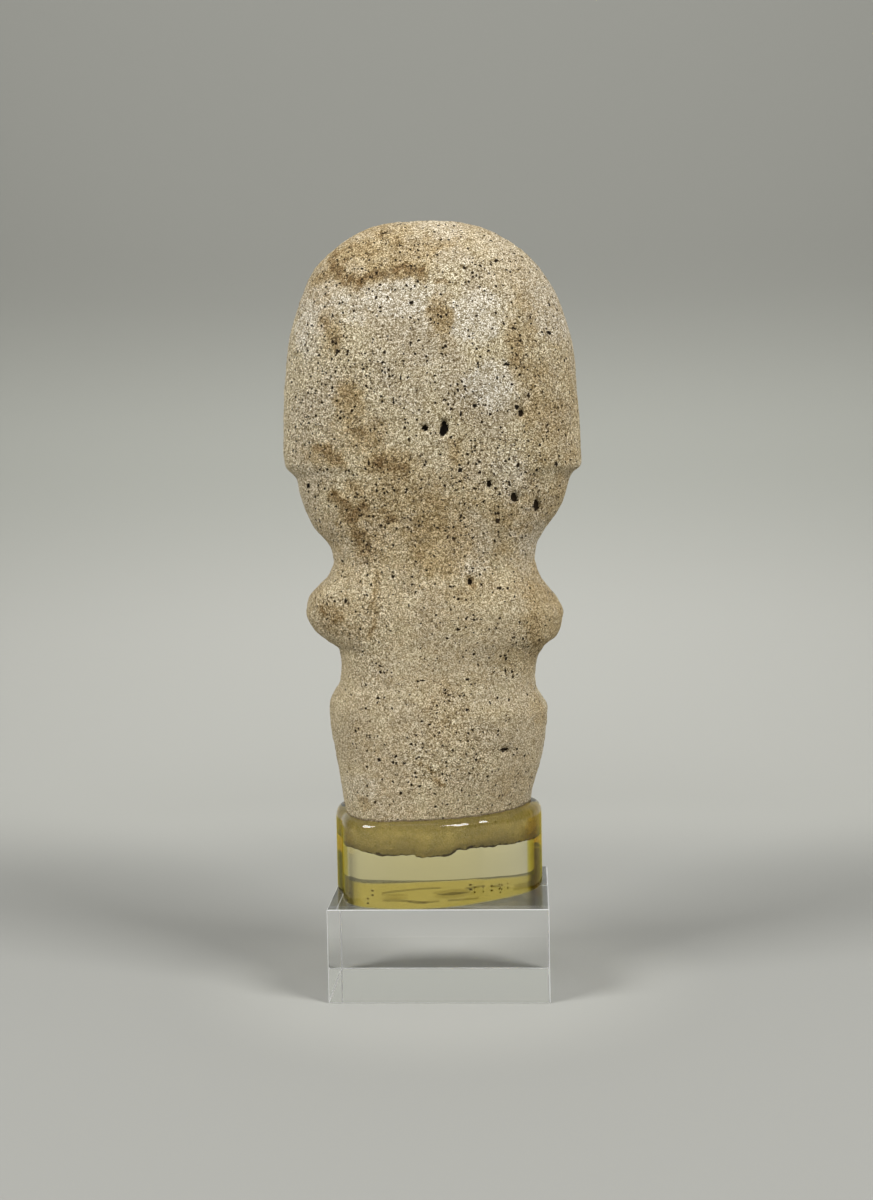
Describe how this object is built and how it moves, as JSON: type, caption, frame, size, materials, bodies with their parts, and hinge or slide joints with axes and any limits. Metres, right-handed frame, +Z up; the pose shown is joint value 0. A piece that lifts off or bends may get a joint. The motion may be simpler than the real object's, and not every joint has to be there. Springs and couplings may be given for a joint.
{
  "type": "stone figurine on a resin and acrylic mount",
  "caption": "Chunky carved stone figure with a large domed head and stub arms, its foot cast in a clear resin socket on a clear acrylic block.",
  "frame": {"origin": "middle of the acrylic block's underside", "axes": "+Z up; -Y is the figure's plain back, the side that the picture shows; +Y is its carved front; +X is to the right as seen from the back"},
  "size_m": [0.0814, 0.0466, 0.2087],
  "materials": {
    "stone": "matt, porous carved stone",
    "resin": "clear casting resin, yellowed with age",
    "acrylic": "clear, polished"
  },
  "bodies": {
    "root": {"figurine": "stone", "resin_socket": "resin", "acrylic_block": "acrylic"}
  },
  "joints": []
}
